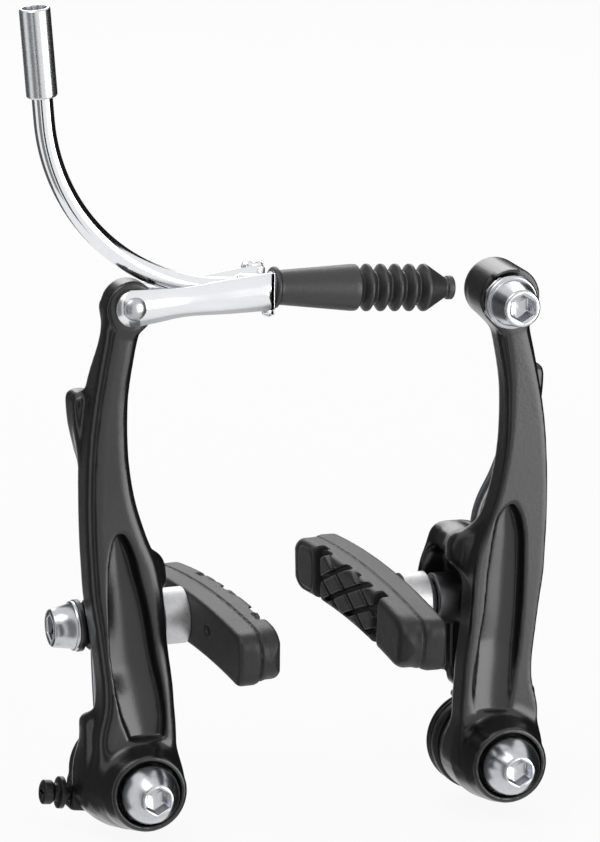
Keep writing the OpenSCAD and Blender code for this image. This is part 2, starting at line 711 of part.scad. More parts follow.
left_side() outer_cup(thick_cup_t);  // left_outer_cup
right_side() outer_cup(thin_cup_t);  // right_outer_cup
left_side() outer_spacer(thick_cup_t);  // left_outer_spacer
right_side() outer_spacer(thin_cup_t);  // right_outer_spacer
left_side() pad_nut(thick_cup_t);  // left_pad_nut
right_side() pad_nut(thin_cup_t);  // right_pad_nut
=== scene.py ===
import math

import bpy
import bmesh
import numpy as np
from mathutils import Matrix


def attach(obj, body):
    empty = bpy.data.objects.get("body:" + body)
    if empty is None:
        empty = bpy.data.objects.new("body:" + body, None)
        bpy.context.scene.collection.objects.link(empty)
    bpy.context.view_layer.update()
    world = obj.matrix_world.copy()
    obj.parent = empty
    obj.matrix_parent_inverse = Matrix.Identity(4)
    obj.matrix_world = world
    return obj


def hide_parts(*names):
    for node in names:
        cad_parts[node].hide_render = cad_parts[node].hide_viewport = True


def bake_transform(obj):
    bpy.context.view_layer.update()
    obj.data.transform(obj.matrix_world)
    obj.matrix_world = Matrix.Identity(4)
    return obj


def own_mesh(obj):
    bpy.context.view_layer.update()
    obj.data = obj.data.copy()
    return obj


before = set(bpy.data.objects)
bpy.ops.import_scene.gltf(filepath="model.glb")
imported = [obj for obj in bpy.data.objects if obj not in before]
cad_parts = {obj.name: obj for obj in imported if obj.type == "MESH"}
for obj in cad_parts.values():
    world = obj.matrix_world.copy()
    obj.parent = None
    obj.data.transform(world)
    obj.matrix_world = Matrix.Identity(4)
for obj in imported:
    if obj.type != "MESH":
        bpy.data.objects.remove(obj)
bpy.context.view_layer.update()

import openvdb
from mathutils import Matrix, Vector

# Camera: a long lens a little to the left of the brake and a little above it, as in the photograph.
# The brake fills an upright frame of 600 by 842.
view_turn, view_lift, view_roll = (math.radians(a) for a in (18.9, 13.3, 0.80389))
view_middle, view_far = Vector((0.033697, -0.020, 0.076651)), 1.7
frame_high, pixels_per_mm, film_high = 842, 4.80345, 36
across = Vector((math.cos(view_turn), -math.sin(view_turn), 0))
upward = Vector((math.sin(view_turn) * math.sin(view_lift), math.cos(view_turn) * math.sin(view_lift),
                 math.cos(view_lift)))
toward = across.cross(upward)
columns = (across * math.cos(view_roll) + upward * math.sin(view_roll),
           upward * math.cos(view_roll) - across * math.sin(view_roll), toward)
camera = bpy.data.objects.new("camera", bpy.data.cameras.new("camera"))
bpy.context.collection.objects.link(camera)
camera.matrix_world = (Matrix.Translation(view_middle + toward * view_far)
                       @ Matrix(columns).transposed().to_4x4())
camera.data.sensor_fit = "VERTICAL"
camera.data.sensor_height = film_high
camera.data.lens = pixels_per_mm * (view_far * 1000) / frame_high * film_high
camera.data.clip_start, camera.data.clip_end = 0.05, 20
bpy.context.scene.camera = camera


# Studio: a white floor under the brake, white all round for the camera and for what metal mirrors,
# and soft lamps above and at both sides.
class Wire:
    """A shader socket that can be reckoned with like a number."""

    def __init__(self, tree, end=None):
        self.tree, self.end = tree, end

    def node(self, kind, settings=None, out=0, **ends):
        """Adds a node; its sockets are given by name, or as i and their number."""
        made = self.tree.nodes.new("ShaderNode" + kind)
        for key, value in (settings or {}).items():
            if key == "stops":
                stops = made.color_ramp.elements
                while len(stops) < len(value):
                    stops.new(0.5)
                for stop, (place, shade) in zip(stops, value):
                    stop.position, stop.color = place, shade if len(shade) == 4 else (*shade, 1)
            else:
                setattr(made, key, value)
        for key, value in ends.items():
            socket = made.inputs[int(key[1:])] if key[1:].isdigit() else made.inputs[key.replace("_", " ")]
            if isinstance(value, Wire):
                self.tree.links.new(value.end, socket)
            else:
                socket.default_value = value
        return Wire(self.tree, made.outputs[out] if made.outputs else None)

    def reckon(self, operation, a, b):
        """Adds the Math node of that operation."""
        return self.node("Math", {"operation": operation}, i0=a, i1=b)

    def __add__(self, other): return self.reckon("ADD", self, other)
    def __radd__(self, other): return self.reckon("ADD", other, self)
    def __sub__(self, other): return self.reckon("SUBTRACT", self, other)
    def __rsub__(self, other): return self.reckon("SUBTRACT", other, self)
    def __mul__(self, other): return self.reckon("MULTIPLY", self, other)
    def __rmul__(self, other): return self.reckon("MULTIPLY", other, self)


def bare(name):
    """A material with no nodes yet, and the wire that they are built from."""
    material = bpy.data.materials.new(name)
    material.use_nodes = True
    material.node_tree.nodes.clear()
    return material, Wire(material.node_tree)


def screen(name, corners, material):
    """A flat sheet of the studio, which is no part of the brake."""
    mesh = bpy.data.meshes.new(name)
    mesh.from_pydata(corners, [], [(0, 1, 2, 3)])
    mesh.materials.append(material)
    made = bpy.data.objects.new(name, mesh)
    bpy.context.collection.objects.link(made)
    return made


world = bpy.data.worlds.new("studio")
bpy.context.scene.world = world
world.use_nodes = True
world.node_tree.nodes.clear()
sky = Wire(world.node_tree)
seen = sky.node("LightPath", out="Is Camera Ray")
mirrored = sky.node("LightPath", out="Is Glossy Ray")
through = sky.node("LightPath", out="Is Transmission Ray")
shown = sky.reckon("MAXIMUM", seen, sky.reckon("MAXIMUM", mirrored, through))
fill_light = sky.node("Background", Color=(1, 1, 1, 1), Strength=0.35)
white = sky.node("Background", Color=(1, 1, 1, 1), Strength=1.0)
sky.node("OutputWorld", Surface=sky.node("MixShader", i0=shown, i1=fill_light, i2=white))

floor_half, floor_z, floor_glow = 6, -0.0125, 0.92
paper, sheet = bare("studio_paper")
fibre = sheet.node("TexNoise", Vector=sheet.node("TexCoord", out="Object"), Scale=40.0, Detail=3.0)
matt = sheet.node("BsdfDiffuse", Color=sheet.node(
    "ValToRGB", {"stops": [(0.3, (0.86, 0.86, 0.86)), (0.7, (0.88, 0.88, 0.88))]}, Fac=fibre))
glow = sheet.node("Emission", Color=(1, 1, 1, 1), Strength=1.0)
floor_shown = sheet.reckon("MAXIMUM", sheet.node("LightPath", out="Is Camera Ray"),
                           sheet.node("LightPath", out="Is Glossy Ray"))
sheet.node("OutputMaterial", Surface=sheet.node("MixShader", i0=floor_shown * floor_glow, i1=matt, i2=glow))
floor = screen("floor", [(-floor_half, -floor_half, 0), (floor_half, -floor_half, 0),
                         (floor_half, floor_half, 0), (-floor_half, floor_half, 0)], paper)
floor.location.z = floor_z
floor.visible_glossy = False

lamp_aim = Vector((0.04, -0.01, 0.06))
for lamp_name, place, wide, tall, power in (
        ("key_lamp", (-0.55, -0.35, 1.05), 0.6, 0.6, 3.4), ("side_lamp", (0.82, -0.93, 0.12), 0.85, 0.9, 9.5),
        ("back_lamp", (0.25, 0.80, 0.60), 0.6, 0.6, 2.5)):
    lamp = bpy.data.objects.new(lamp_name, bpy.data.lights.new(lamp_name, "AREA"))
    lamp.data.shape, lamp.data.size, lamp.data.size_y, lamp.data.energy = "RECTANGLE", wide, tall, power
    lamp.location = place
    lamp.rotation_euler = (lamp_aim - Vector(place)).to_track_quat("-Z", "Y").to_euler()
    bpy.context.collection.objects.link(lamp)
bpy.context.scene.view_settings.view_transform = "Standard"

# Flags: upright cards round the brake that only metal and gloss mirror. They give polished metal its dark
# bands and keep the sides of the black parts dark. Each stands at its own angle from the front.
card_foot, card_top, card_middle = -1.3, 0.9, (0.04, 0.1)
for flag_name, turn, far, wide, tone in (
        ("right_flag", 108, 1.3, 3.2, 0.01), ("near_flag", -28, 1.5, 0.42, 0.02),
        ("left_flag", -62, 1.5, 0.85, 0.22), ("rear_flag", -140, 1.4, 1.7, 0.10)):
    cloth, weave = bare(flag_name)
    weave.node("OutputMaterial", Surface=weave.node("Emission", Color=(tone, tone, tone, 1), Strength=1.0))
    flag = screen(flag_name, [(-wide / 2, 0, card_foot), (wide / 2, 0, card_foot), (wide / 2, 0, card_top),
                              (-wide / 2, 0, card_top)], cloth)
    angle = math.radians(turn)
    flag.location = (card_middle[0] + far * math.sin(angle), -far * math.cos(angle), card_middle[1])
    flag.rotation_euler.z = angle
    flag.visible_camera = flag.visible_shadow = flag.visible_diffuse = flag.visible_transmission = False


# Arms: two alloy forgings, each a curved beam on a barrel, with a trough in the front face, a slotted
# flange for the pad and a tab behind for the spring. The edges are rounded as a forging's, and the
# whole is painted black.
def weld(a, b, r):
    """Joins two shapes with a fillet."""
    h = np.clip(r - np.abs(a - b), 0, None)
    return np.minimum(a, b) - h * h / (4 * r)


def corner(a, b, r):
    """What two shapes share, with a rounded edge."""
    return -weld(-a, -b, r)


def slab(a, low, high):
    """What lies between two parallel faces."""
    return np.maximum(low - a, a - high)


def fair(rows, steps=8):
    """Smooth curve through rows of numbers."""
    p = np.array(rows, float)
    p = np.vstack([p[:1], p, p[-1:]])
    t = np.linspace(0, 1, steps, endpoint=False)[:, None]
    parts = [0.5 * (2 * b + (c - a) * t + (2 * a - 5 * b + 4 * c - d) * t ** 2
                    + (3 * b - a - 3 * c + d) * t ** 3)
             for a, b, c, d in zip(p, p[1:], p[2:], p[3:])]
    return np.vstack(parts + [p[-1:]])


def edge(rows, column, z):
    """Edge of an outline at each height, and how much its slope shortens a distance to it."""
    p = fair(rows)
    x = np.interp(z.ravel(), p[:, 0], p[:, column])
    share = 1 / np.sqrt(1 + np.gradient(x, z.ravel()) ** 2)
    return x.reshape(z.shape), share.reshape(z.shape)


def piece(name, points, faces, place, material, body, slot, node):
    """One mesh in metres from points in millimetres, put in place, finished and set on its body."""
    points = place(np.asarray(points, float)) * 0.001
    mesh = bpy.data.meshes.new(name)
    mesh.from_pydata(points.tolist(), [], [tuple(int(k) for k in f) for f in faces])
    shape = bmesh.new()
    shape.from_mesh(mesh)
    bmesh.ops.remove_doubles(shape, verts=shape.verts, dist=1e-7)
    bmesh.ops.recalc_face_normals(shape, faces=shape.faces)
    if shape.calc_volume(signed=True) < 0:
        bmesh.ops.reverse_faces(shape, faces=shape.faces)
    shape.to_mesh(mesh)
    shape.free()
    for face in mesh.polygons:
        face.use_smooth = True
    mesh.materials.append(material)
    made = bpy.data.objects.new(name, mesh)
    bpy.context.collection.objects.link(made)
    if isinstance(body, str):
        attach(made, body)
    else:
        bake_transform(made)
    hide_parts(node)
    return made


def cast(low, high, step, form):
    """Points and faces of the shape whose distance form(x, y, z) gives, on a grid of that step."""
    x, y, z = (np.arange(a, b + step, step) for a, b in zip(low, high))
    x, y, z = x[:, None, None], y[None, :, None], z[None, None, :]
    field = np.broadcast_to(form(x, y, z), (x.size, y.size, z.size))
    grid = openvdb.FloatGrid(9.0)
    grid.copyFromArray(np.ascontiguousarray(field, dtype=np.float32))
    points, quads = grid.convertToQuads(isovalue=0.0)
    return np.array(low) + step * np.asarray(points, float), np.asarray(quads)


beam_rows = [
    (0.00, -8.4, 8.4), (0.10, -8.8, 8.5), (0.16, -7.5, 8.2), (0.21, -7.3, 7.9), (0.28, -8.0, 7.1),
    (0.34, -8.7, 6.7), (0.40, -9.5, 6.3), (0.46, -9.8, 5.2), (0.52, -10.0, 2.9), (0.59, -10.0, 0.8),
    (0.66, -9.8, -0.4), (0.72, -9.4, -0.8), (0.77, -8.8, -0.8), (0.82, -8.0, -0.5),
    (0.88, -6.9, 0.5), (0.94, -5.7, 1.9), (1.00, -5.3, 4.4)]
left_trough = [
    (9.0, -2.2, 5.0), (11.3, -2.6, 5.4), (14.6, -3.8, 5.6), (18.9, -4.7, 5.3), (23.3, -5.3, 4.7),
    (27.6, -5.8, 3.9), (32.0, -6.0, 3.3), (36.3, -6.1, 2.7), (40.7, -6.1, 1.9), (44.9, -6.0, 0.9),
    (49.0, -5.7, 0.0), (53.0, -4.8, -1.4), (55.0, -3.6, -2.6)]
right_trough = [
    (9.0, -2.4, 5.8), (11.3, -2.7, 6.2), (13.8, -2.9, 6.3), (18.1, -3.2, 5.8), (22.3, -3.8, 5.1),
    (26.6, -4.2, 4.5), (30.9, -4.5, 3.8), (35.2, -4.7, 3.4), (39.5, -4.8, 3.1), (43.7, -4.8, 2.6),
    (48.0, -4.7, 2.0), (52.3, -3.9, 1.0), (55.2, -2.5, -1.6)]
left_height, right_height, pivot_gap, lean = 103.3, 99.4, 80, 1.9
barrel_front, barrel_back = -25.4, -7
flange_outer, flange_inner, flange_top = -0.6, 5, 46.5
bush_bore, head_well_r, head_well_end, housing_well_r = 5.65, 7.0, -22.9, 10.7
post_y, post_z, slot_low, slot_r = -4.0, 32.0, 17, 3.3


def barrelled(body, x, y, z):
    """Adds the barrel, which flares into a skirt at the back of its outer side."""
    rho = np.sqrt(x ** 2 + z ** 2)
    girth = np.interp(y, [barrel_front, -24, -21.5, -15.5, barrel_back], [8.2, 8.4, 9.0, 9.8, 9.8])
    body = weld(body, corner(rho - girth, slab(y, barrel_front, barrel_back), 1.0), 2.6)
    skirt = rho - np.interp(y, [-17, -11, barrel_back], [9.2, 11.1, 11.6])
    return weld(body, corner(corner(skirt, slab(y, -17, barrel_back), 1.4), x + 1.0, 2.4), 2.4)


def flanged(body, x, y, z):
    """Adds the pad's flange: a plate with a slanted top, a wall that closes its rear and a roof over both."""
    plate_front, plate_rear, plate_foot = -13, 2.4, 11.5
    wall_edge, wall_front, wall_rear, wall_foot = 11.2, 2.2, 4.6, 13.5
    roof_front, roof_foot = -10.8, 42
    plate = corner(slab(x, flange_outer, flange_inner), slab(y, plate_front, plate_rear), 1.0)
    plate = corner(plate, slab(z, plate_foot, flange_top), 2.0)
    plate = corner(plate, (3 * (z - 40.5) - 6 * (x - flange_outer)) / 6.7, 1.0)
    wall = corner(slab(x, 0.5, wall_edge), slab(y, wall_front, wall_rear), 0.8)
    wall = corner(wall, slab(z, wall_foot, flange_top), 3.0)
    wall = corner(wall, ((x - wall_edge) * 6.5 + (z - 40) * 3.9) / 7.6, 3.0)
    wall = corner(wall, ((x - wall_edge) * 6 - (z - 19.5) * 3.7) / 7.05, 3.0)
    roof = corner(corner(slab(x, -3, 8.4), z - flange_top, 3.2), roof_foot - z, 0.8)
    roof = corner(roof, slab(y, roof_front, wall_rear), 1.6)
    return weld(weld(body, roof, 7.0), weld(plate, wall, 1.2), 2.0)


def lugged(body, x, y, z):
    """Adds the ear above the barrel and the tab that the spring's end pushes on."""
    ear = corner(corner(slab(x, -10.0, -4), slab(y, -13.5, barrel_back), 1.8), slab(z, -6, 14.6), 2.6)
    tab = corner(corner(slab(x, -10.6, -5.4), slab(y, -13, -5.5), 1.2), slab(z, 68.5, 84), 2.4)
    tab = corner(tab, (-7 * (x + 8.6) - 2 * (z - 69)) / 7.3, 1.5)
    return weld(weld(body, ear, 2.2), tab, 1.6)


def bored(body, x, y, z):
    """Cuts the bush's bore, the wells for the bolt's head and the spring housing, and the post's slot."""
    rho = np.sqrt(x ** 2 + z ** 2)
    body = corner(body, bush_bore - rho, 0.3)
    body = corner(body, -np.maximum(rho - head_well_r, y - head_well_end), 0.3)
    body = corner(body, -np.maximum(rho - housing_well_r, barrel_back - y), 0.3)
    slot = np.sqrt((y - post_y) ** 2 + (z - np.clip(z, slot_low, post_z)) ** 2) - slot_r
    return corner(body, -slot, 0.5)


def station(z, heights, ys, width=25):
    """Where a face lies in depth at each height, eased over a stretch of the grid."""
    line = np.interp(np.pad(z.ravel(), width // 2, mode="edge"), heights, ys)
    return np.convolve(line, np.ones(width) / width, mode="valid").reshape(z.shape)


def forging(height, top_front, top_back, trough_rows, head):
    """An arm of that height from pivot to cable, with its own trough and kind of head."""
    outline = [(share * height, a, b) for share, a, b in beam_rows]

    def form(x, y, z):
        out, out_share = edge(outline, 1, z)
        inn, inn_share = edge(outline, 2, z)
        front = station(z, [0, height * 0.6, height * 0.93, 200], [-19.5, -19.5, top_front, top_front])
        back = station(z, [0, height * 0.83, height * 0.93, 200], [-10.5, -10.5, top_back, top_back])
        body = corner((out - x) * out_share, (x - inn) * inn_share, 1.0)
        body = corner(corner(body, front - y, 2.8), y - back, 1.6)
        body = head(corner(body, np.maximum(z - height, -z), 1.0), x, y, z - height)
        for grown in (barrelled, flanged, lugged):
            body = grown(body, x, y, z)
        left, left_share = edge(trough_rows, 1, z)
        right, right_share = edge(trough_rows, 2, z)
        bed = station(z, [0, 10.5, 14, 19, 24, 200], [-17.2, -17.2, -16.9, -16.2, -14.8, -14.8], 7)
        across_bed = np.clip((2 * x - left - right) / (right - left), -1.1, 1.1)
        trough = corner((left - x) * left_share, (x - right) * right_share, 1.0)
        trough = corner(trough, y - bed + 0.9 * across_bed ** 2, 1.0)
        trough = corner(trough, slab(z, 10.2, trough_rows[-1][0]), 0.8)
        return bored(corner(body, -trough, 0.5), x, y, z)
    return form


def left_head(body, x, y, z):
    """A tongue between the link's cheeks, drilled for the rivet."""
    rho = np.sqrt(x ** 2 + z ** 2)
    return np.maximum(weld(body, corner(rho - 5.3, slab(y, -21.1, -15.2), 0.9), 1.6), 1.95 - rho)


def right_head(body, x, y, z):
    """A round boss drilled for the anchor bolt, with a hood over its washer."""
    rho = np.sqrt(x ** 2 + z ** 2)
    boss = corner(np.sqrt((x + 0.7) ** 2 + (z - 0.4) ** 2) - 6.5, slab(y, -20.5, -6), 1.3)
    under_hood = (z > 0.35 * x) & (z > -3.2 * x)
    seat = np.maximum(np.where(under_hood, rho - 6.1, np.full_like(rho, -2.0)), y + 18)
    return np.maximum(corner(weld(body, boss, 2.4), -seat, 0.4), 3.05 - rho)


def dipped(p, degrees):
    """Points turned about the y axis, so that the x axis dips."""
    c, s = math.cos(math.radians(degrees)), math.sin(math.radians(degrees))
    return np.stack([p[:, 0] * c + p[:, 2] * s, p[:, 1], p[:, 2] * c - p[:, 0] * s], 1)


def left_side(p):
    """Places points of an arm's own frame on the left arm, which leans outward."""
    return dipped(p, -lean)


def right_side(p):
    """Places them on the right arm, which mirrors the left one and stands upright."""
    return p * (-1, 1, 1) + (pivot_gap, 0, 0)


def finish(name, colour, metal, rough, grain, grain_depth, spread=0.12, shine=0.5, brushed=None, speckle=0.0):
    """A finish with a grain of its own: colour, polish and relief all vary over the surface."""
    material, start = bare(name)
    where = start.node("TexCoord", out="Object")
    broad = start.node("TexNoise", Vector=where, Scale=70.0, Detail=3.0)
    if brushed:
        where = start.node("VectorMath", {"operation": "MULTIPLY"}, i0=where, i1=brushed)
    fine = start.node("TexNoise", Vector=where, Scale=grain, Detail=5.0, Roughness=0.6)
    wear = fine * 0.6 + broad * 0.4
    dark, light = (tuple(c * part for c in colour) for part in (1 - spread, 1 + spread))
    shade = start.node("ValToRGB", {"stops": [(0.3, dark), (0.7, light)]}, Fac=wear)
    if speckle:
        spots = start.node("TexVoronoi", Vector=where, Scale=grain * 0.5)
        shade = start.node("Mix", {"data_type": "RGBA"}, out=2, i0=(1 - spots) * speckle, i6=shade,
                           i7=(*[min(1, c * 3.2) for c in colour], 1))
    relief = start.node("Bump", Strength=1.0, Distance=grain_depth, Height=fine)
    start.node("OutputMaterial", Surface=start.node(
        "BsdfPrincipled", Base_Color=shade, Metallic=metal, Roughness=rough * 0.8 + wear * rough * 0.4,
        Specular_IOR_Level=shine, Normal=relief))
    return material


arm_paint = finish("black_arm_paint", (0.008, 0.008, 0.009), 0.0, 0.24, 1400.0, 0.00002, spread=0.25,
                   shine=0.62)
for side, place, form in (
        ("left", left_side, forging(left_height, -21.1, -15.2, left_trough, left_head)),
        ("right", right_side, forging(right_height, -18.0, -10.5, right_trough, right_head))):
    points, quads = cast((-13, -29, -13), (13, 7, 112), 0.4, form)
    piece(f"{side}_arm_forging", points, quads, place, arm_paint, f"{side}_arm_body", "arm_paint",
          f"{side}_arm")


# Pivot bushes: plain steel sleeves, turned to size, that slide over the frame's bosses. Each arm's
# barrel turns on one.
def eased(profile, r):
    """Profile with its corners rounded."""
    p = [Vector((*q[:2], 0)) for q in profile]
    kinds = [q[2] if len(q) > 2 else 0 for q in profile]
    out = []
    for i, (q, kind) in enumerate(zip(p, kinds)):
        a, b = p[i - 1] - q, p[(i + 1) % len(p)] - q
        if q.y < 1e-6 or a.length < 1e-6 or b.length < 1e-6:
            out.append((q.x, q.y, kind))
            continue
        t = min(r, a.length * 0.45, b.length * 0.45)
        start, end = q + a.normalized() * t, q + b.normalized() * t
        for k in (0, 0.25, 0.5, 0.75, 1):
            s = start * (1 - k) ** 2 + q * 2 * k * (1 - k) + end * k ** 2
            out.append((s.x, s.y, kind))
    return out


def turned(profile, axis="y", centre=(0, 0, 0), closed=True, sides=96):
    """Points and faces of a turned piece from (station, radius) rows; a third number 1 makes a hexagon."""
    turn = np.arange(sides) * 2 * math.pi / sides
    hexagon = 1 / np.cos((turn + math.pi / 6) % (math.pi / 3) - math.pi / 6) * math.cos(math.pi / 6)
    rows = []
    for at, radius, *kind in profile:
        r = radius * (hexagon if kind and kind[0] else 1)
        rows.append(np.stack([np.full(sides, at), r * np.cos(turn), r * np.sin(turn)], 1))
    p = np.vstack(rows)
    p = p if axis == "x" else p[:, [1, 0, 2]]
    n = len(rows)
    faces = [(i * sides + k, i * sides + (k + 1) % sides, (i + 1) % n * sides + (k + 1) % sides,
              (i + 1) % n * sides + k)
             for i in range(n if closed else n - 1) for k in range(sides)]
    return p + centre, faces


def as_is(p):
    """Leaves points where they are, on the frame side."""
    return p


plain_steel = finish("turned_steel", (0.45, 0.46, 0.48), 1.0, 0.32, 1600.0, 0.00001, spread=0.1,
                     brushed=(1.0, 12.0, 1.0))
bush_end, bush_r, bush_inner_r = -25, 5.6, 4.05
sleeve = eased([(bush_end, bush_inner_r), (bush_end, bush_r), (0, bush_r), (0, bush_inner_r)], 0.25)
for side, place in (("left", as_is), ("right", right_side)):
    points, faces = turned(sleeve)
    piece(f"{side}_bush_sleeve", points, faces, place, plain_steel, "boss_side", "plain_steel",
          f"{side}_pivot_bush")

# Pivot bolts: M6 bolts with a tall polished dome and a hexagon socket, cold headed and zinc plated.
# Each holds its bush and arm on the frame's boss.
bright_zinc = finish("bright_zinc_plating", (0.53, 0.54, 0.56), 1.0, 0.24, 900.0, 0.00001, spread=0.10)
key_r, shank_r = 2.5 / math.cos(math.pi / 6), 3
dome = [(0.5, 0), (0.5, 2.5), (0, shank_r), (bush_end, shank_r), (bush_end, 5.8), (-23.3, 5.8), (-23.3, 6.35),
        (-25, 6.4), (-26.4, 6.2), (-27.7, 5.75), (-28.9, 5.1), (-30, 4.35), (-30.8, 3.7), (-31.15, 3.35)]
socket = [(-31.3, key_r + 0.18, 1), (-31.1, key_r, 1), (-27.8, key_r - 0.02, 1), (-27.7, key_r - 0.2, 1),
          (-27.2, 0)]
for side, place in (("left", as_is), ("right", right_side)):
    points, faces = turned(dome + socket, closed=False)
    piece(f"{side}_pivot_bolt_head", points, faces, place, bright_zinc, "boss_side", "zinc_steel",
          f"{side}_pivot_bolt")

# Spring housings: black nylon cups behind the barrels, moulded with grooves round the rim. They hold the
# springs' lower ends, and the left one has a lug for the tension screw.
nylon = finish("moulded_nylon", (0.009, 0.009, 0.010), 0.0, 0.34, 1100.0, 0.00002, shine=0.35)
cup_r, cup_bore, cup_front, cup_back, groove_deep = 10.3, 5.66, -6.6, -0.6, 0.45
lug_x, lug_y, lug_z, lug_dip, screw_hole_r = -9, -4, -4.8, 6, 1.56


def housing(lug):
    """A spring housing, with or without the screw's lug."""
    def form(x, y, z):
        rho = np.sqrt(x ** 2 + z ** 2)
        grooves = np.exp(-((y + 3.7) / 0.35) ** 2), np.exp(-((y + 2.2) / 0.3) ** 2)
        girth = cup_r - groove_deep * grooves[0] - groove_deep * grooves[1]
        body = corner(rho - girth, slab(y, cup_front, cup_back), 0.8)
        if lug:
            c, s = math.cos(math.radians(lug_dip)), math.sin(math.radians(lug_dip))
            u, w = (x - lug_x) * c - (z - lug_z) * s, (x - lug_x) * s + (z - lug_z) * c
            block = corner(corner(slab(u, -2.2, 3.8), slab(y, -6.55, -1.4), 0.8), slab(w, -3.4, 3.4), 1.0)
            body = np.maximum(weld(body, block, 1.0), screw_hole_r - np.sqrt(w ** 2 + (y - lug_y) ** 2))
        body = corner(body, cup_bore - rho, 0.3)
        spring_well = np.maximum(np.maximum(slab(x, -2.7, 2.7), slab(z, 7.1, 9.3)), -5.0 - y)
        return np.maximum(body, -spring_well)
    return form


for side, place in (("left", as_is), ("right", right_side)):
    points, quads = cast((-14, -8, -12), (12, 1, 12), 0.2, housing(side == "left"))
    piece(f"{side}_housing_cup", points, quads, place, nylon, "boss_side", "nylon", f"{side}_spring_housing")


# Tension screw: a black nylon cross-head screw with a collar, moulded in one and threaded into the left
# housing's lug. It turns in to load the spring.
def tension_screw(x, y, z):
    """The screw along x, its head at the low end."""
    rho = np.sqrt(y ** 2 + z ** 2)
    girth = np.interp(x, [-8.2, -7.9, -6.3, -5.9, -5.7, -4.75, -4.65, -3.5, -3.4, -3.0, 2.4, 2.9],
                      [2.2, 2.6, 2.6, 2.3, 1.95, 1.95, 3.4, 3.4, 2.2, 1.5, 1.5, 1.0])
    body = corner(rho - girth, slab(x, -8.2, 2.9), 0.35)
    body = np.maximum(body, rho - 1.5 - 2.5 * (x < -3.2))
    reach, half_wide = 1.6, 0.38
    cross = np.minimum(np.maximum(np.abs(y) - reach, np.abs(z) - half_wide),
                       np.maximum(np.abs(z) - reach, np.abs(y) - half_wide))
    return corner(body, -np.maximum(cross, x + 7.1), 0.15)


points, quads = cast((-9, -4, -4), (3.4, 4, 4), 0.12, tension_screw)
piece("cross_head_screw", points, quads, lambda p: dipped(p, lug_dip) + (lug_x, lug_y, lug_z), nylon,
      "tension_screw", "nylon", "spring_tension_screw")


# Return springs: one bent wire each, from a tang in the frame, round inside the housing and up behind the
# flange to the arm's tab. They push the arms open.
def drawn(path, radius, sides=20):
    """Points and faces of a round wire or tube along a path; radius may vary along it."""
    path = np.array(path, float)
    radius = np.broadcast_to(radius, len(path))
    run = np.gradient(path, axis=0)
    run /= np.linalg.norm(run, axis=1)[:, None]
    flat = np.cross(run[0], (0.3, 0.9, 0.2))
    turn = np.arange(sides) * 2 * math.pi / sides
    rings = []
    for here, ahead, r in zip(path, run, radius):
        flat = flat - ahead * (flat @ ahead)
        flat /= np.linalg.norm(flat)
        other = np.cross(ahead, flat)
        rings.append(here + r * (np.cos(turn)[:, None] * flat + np.sin(turn)[:, None] * other))
    n = len(path)
    faces = [(i * sides + k, i * sides + (k + 1) % sides, (i + 1) * sides + (k + 1) % sides,
              (i + 1) * sides + k)
             for i in range(n - 1) for k in range(sides)]
    faces += [tuple(range(sides - 1, -1, -1)), tuple((n - 1) * sides + k for k in range(sides))]
    return np.vstack(rings), faces


def bowed(rows, angle):
    """Path points from the frame side, the last ones leaning with the arm."""
    c, s = math.cos(angle), math.sin(angle)
    return [(x * c - z * s, y, x * s + z * c) if leaning else (x, y, z) for x, y, z, leaning in rows]


spring_wire = finish("spring_wire", (0.40, 0.41, 0.43), 1.0, 0.30, 2200.0, 0.000008, brushed=(1.0, 1.0, 0.1))
wire_r, bend_low, bend_high = 1.0, 0.014, 0.062
spring_rows = [
    (1.6, 5.5, 8.1, 0), (1.6, 1.0, 8.1, 0), (1.6, -2.6, 8.1, 0), (1.0, -3.8, 8.1, 0), (-1.0, -3.8, 8.1, 0),
    (-1.6, -2.6, 8.1, 0), (-1.6, 4.8, 8.1, 0), (-1.6, 6.0, 9.5, 0), (-1.6, 6.0, 20, 1), (-1.7, 6.0, 34, 1),
    (-2.4, 5.0, 48, 1), (-4.6, 0.5, 58, 1), (-6.3, -3.2, 67, 1), (-7.6, -4.0, 72, 1), (-7.6, -4.0, 81, 1)]
for side, place, angle, boss_x in (
        ("left", as_is, lean, 0.0), ("right", right_side, 0.0, pivot_gap * 0.001)):
    points, faces = drawn(fair(bowed(spring_rows, math.radians(angle))), wire_r, 16)
    piece(f"{side}_spring_leg", points, faces, place, spring_wire,
          ("boss_side", f"{side}_arm_body", (boss_x, 0, bend_low), (boss_x, 0, bend_high)), "spring_wire",
          f"{side}_return_spring")

# Link: one strip of polished steel folded into two cheeks and an end wall, which is slotted for the guide
# tube's nose. It hangs on the left arm's head.
pin_y, link_reach, nose_rise, slope = -18.15, 30.5, 1.87, 3.3
pin = left_side(np.array([[0, 0, left_height]]))[0] + (0, pin_y, 0)
nose_end = pin + (link_reach, 0, nose_rise)


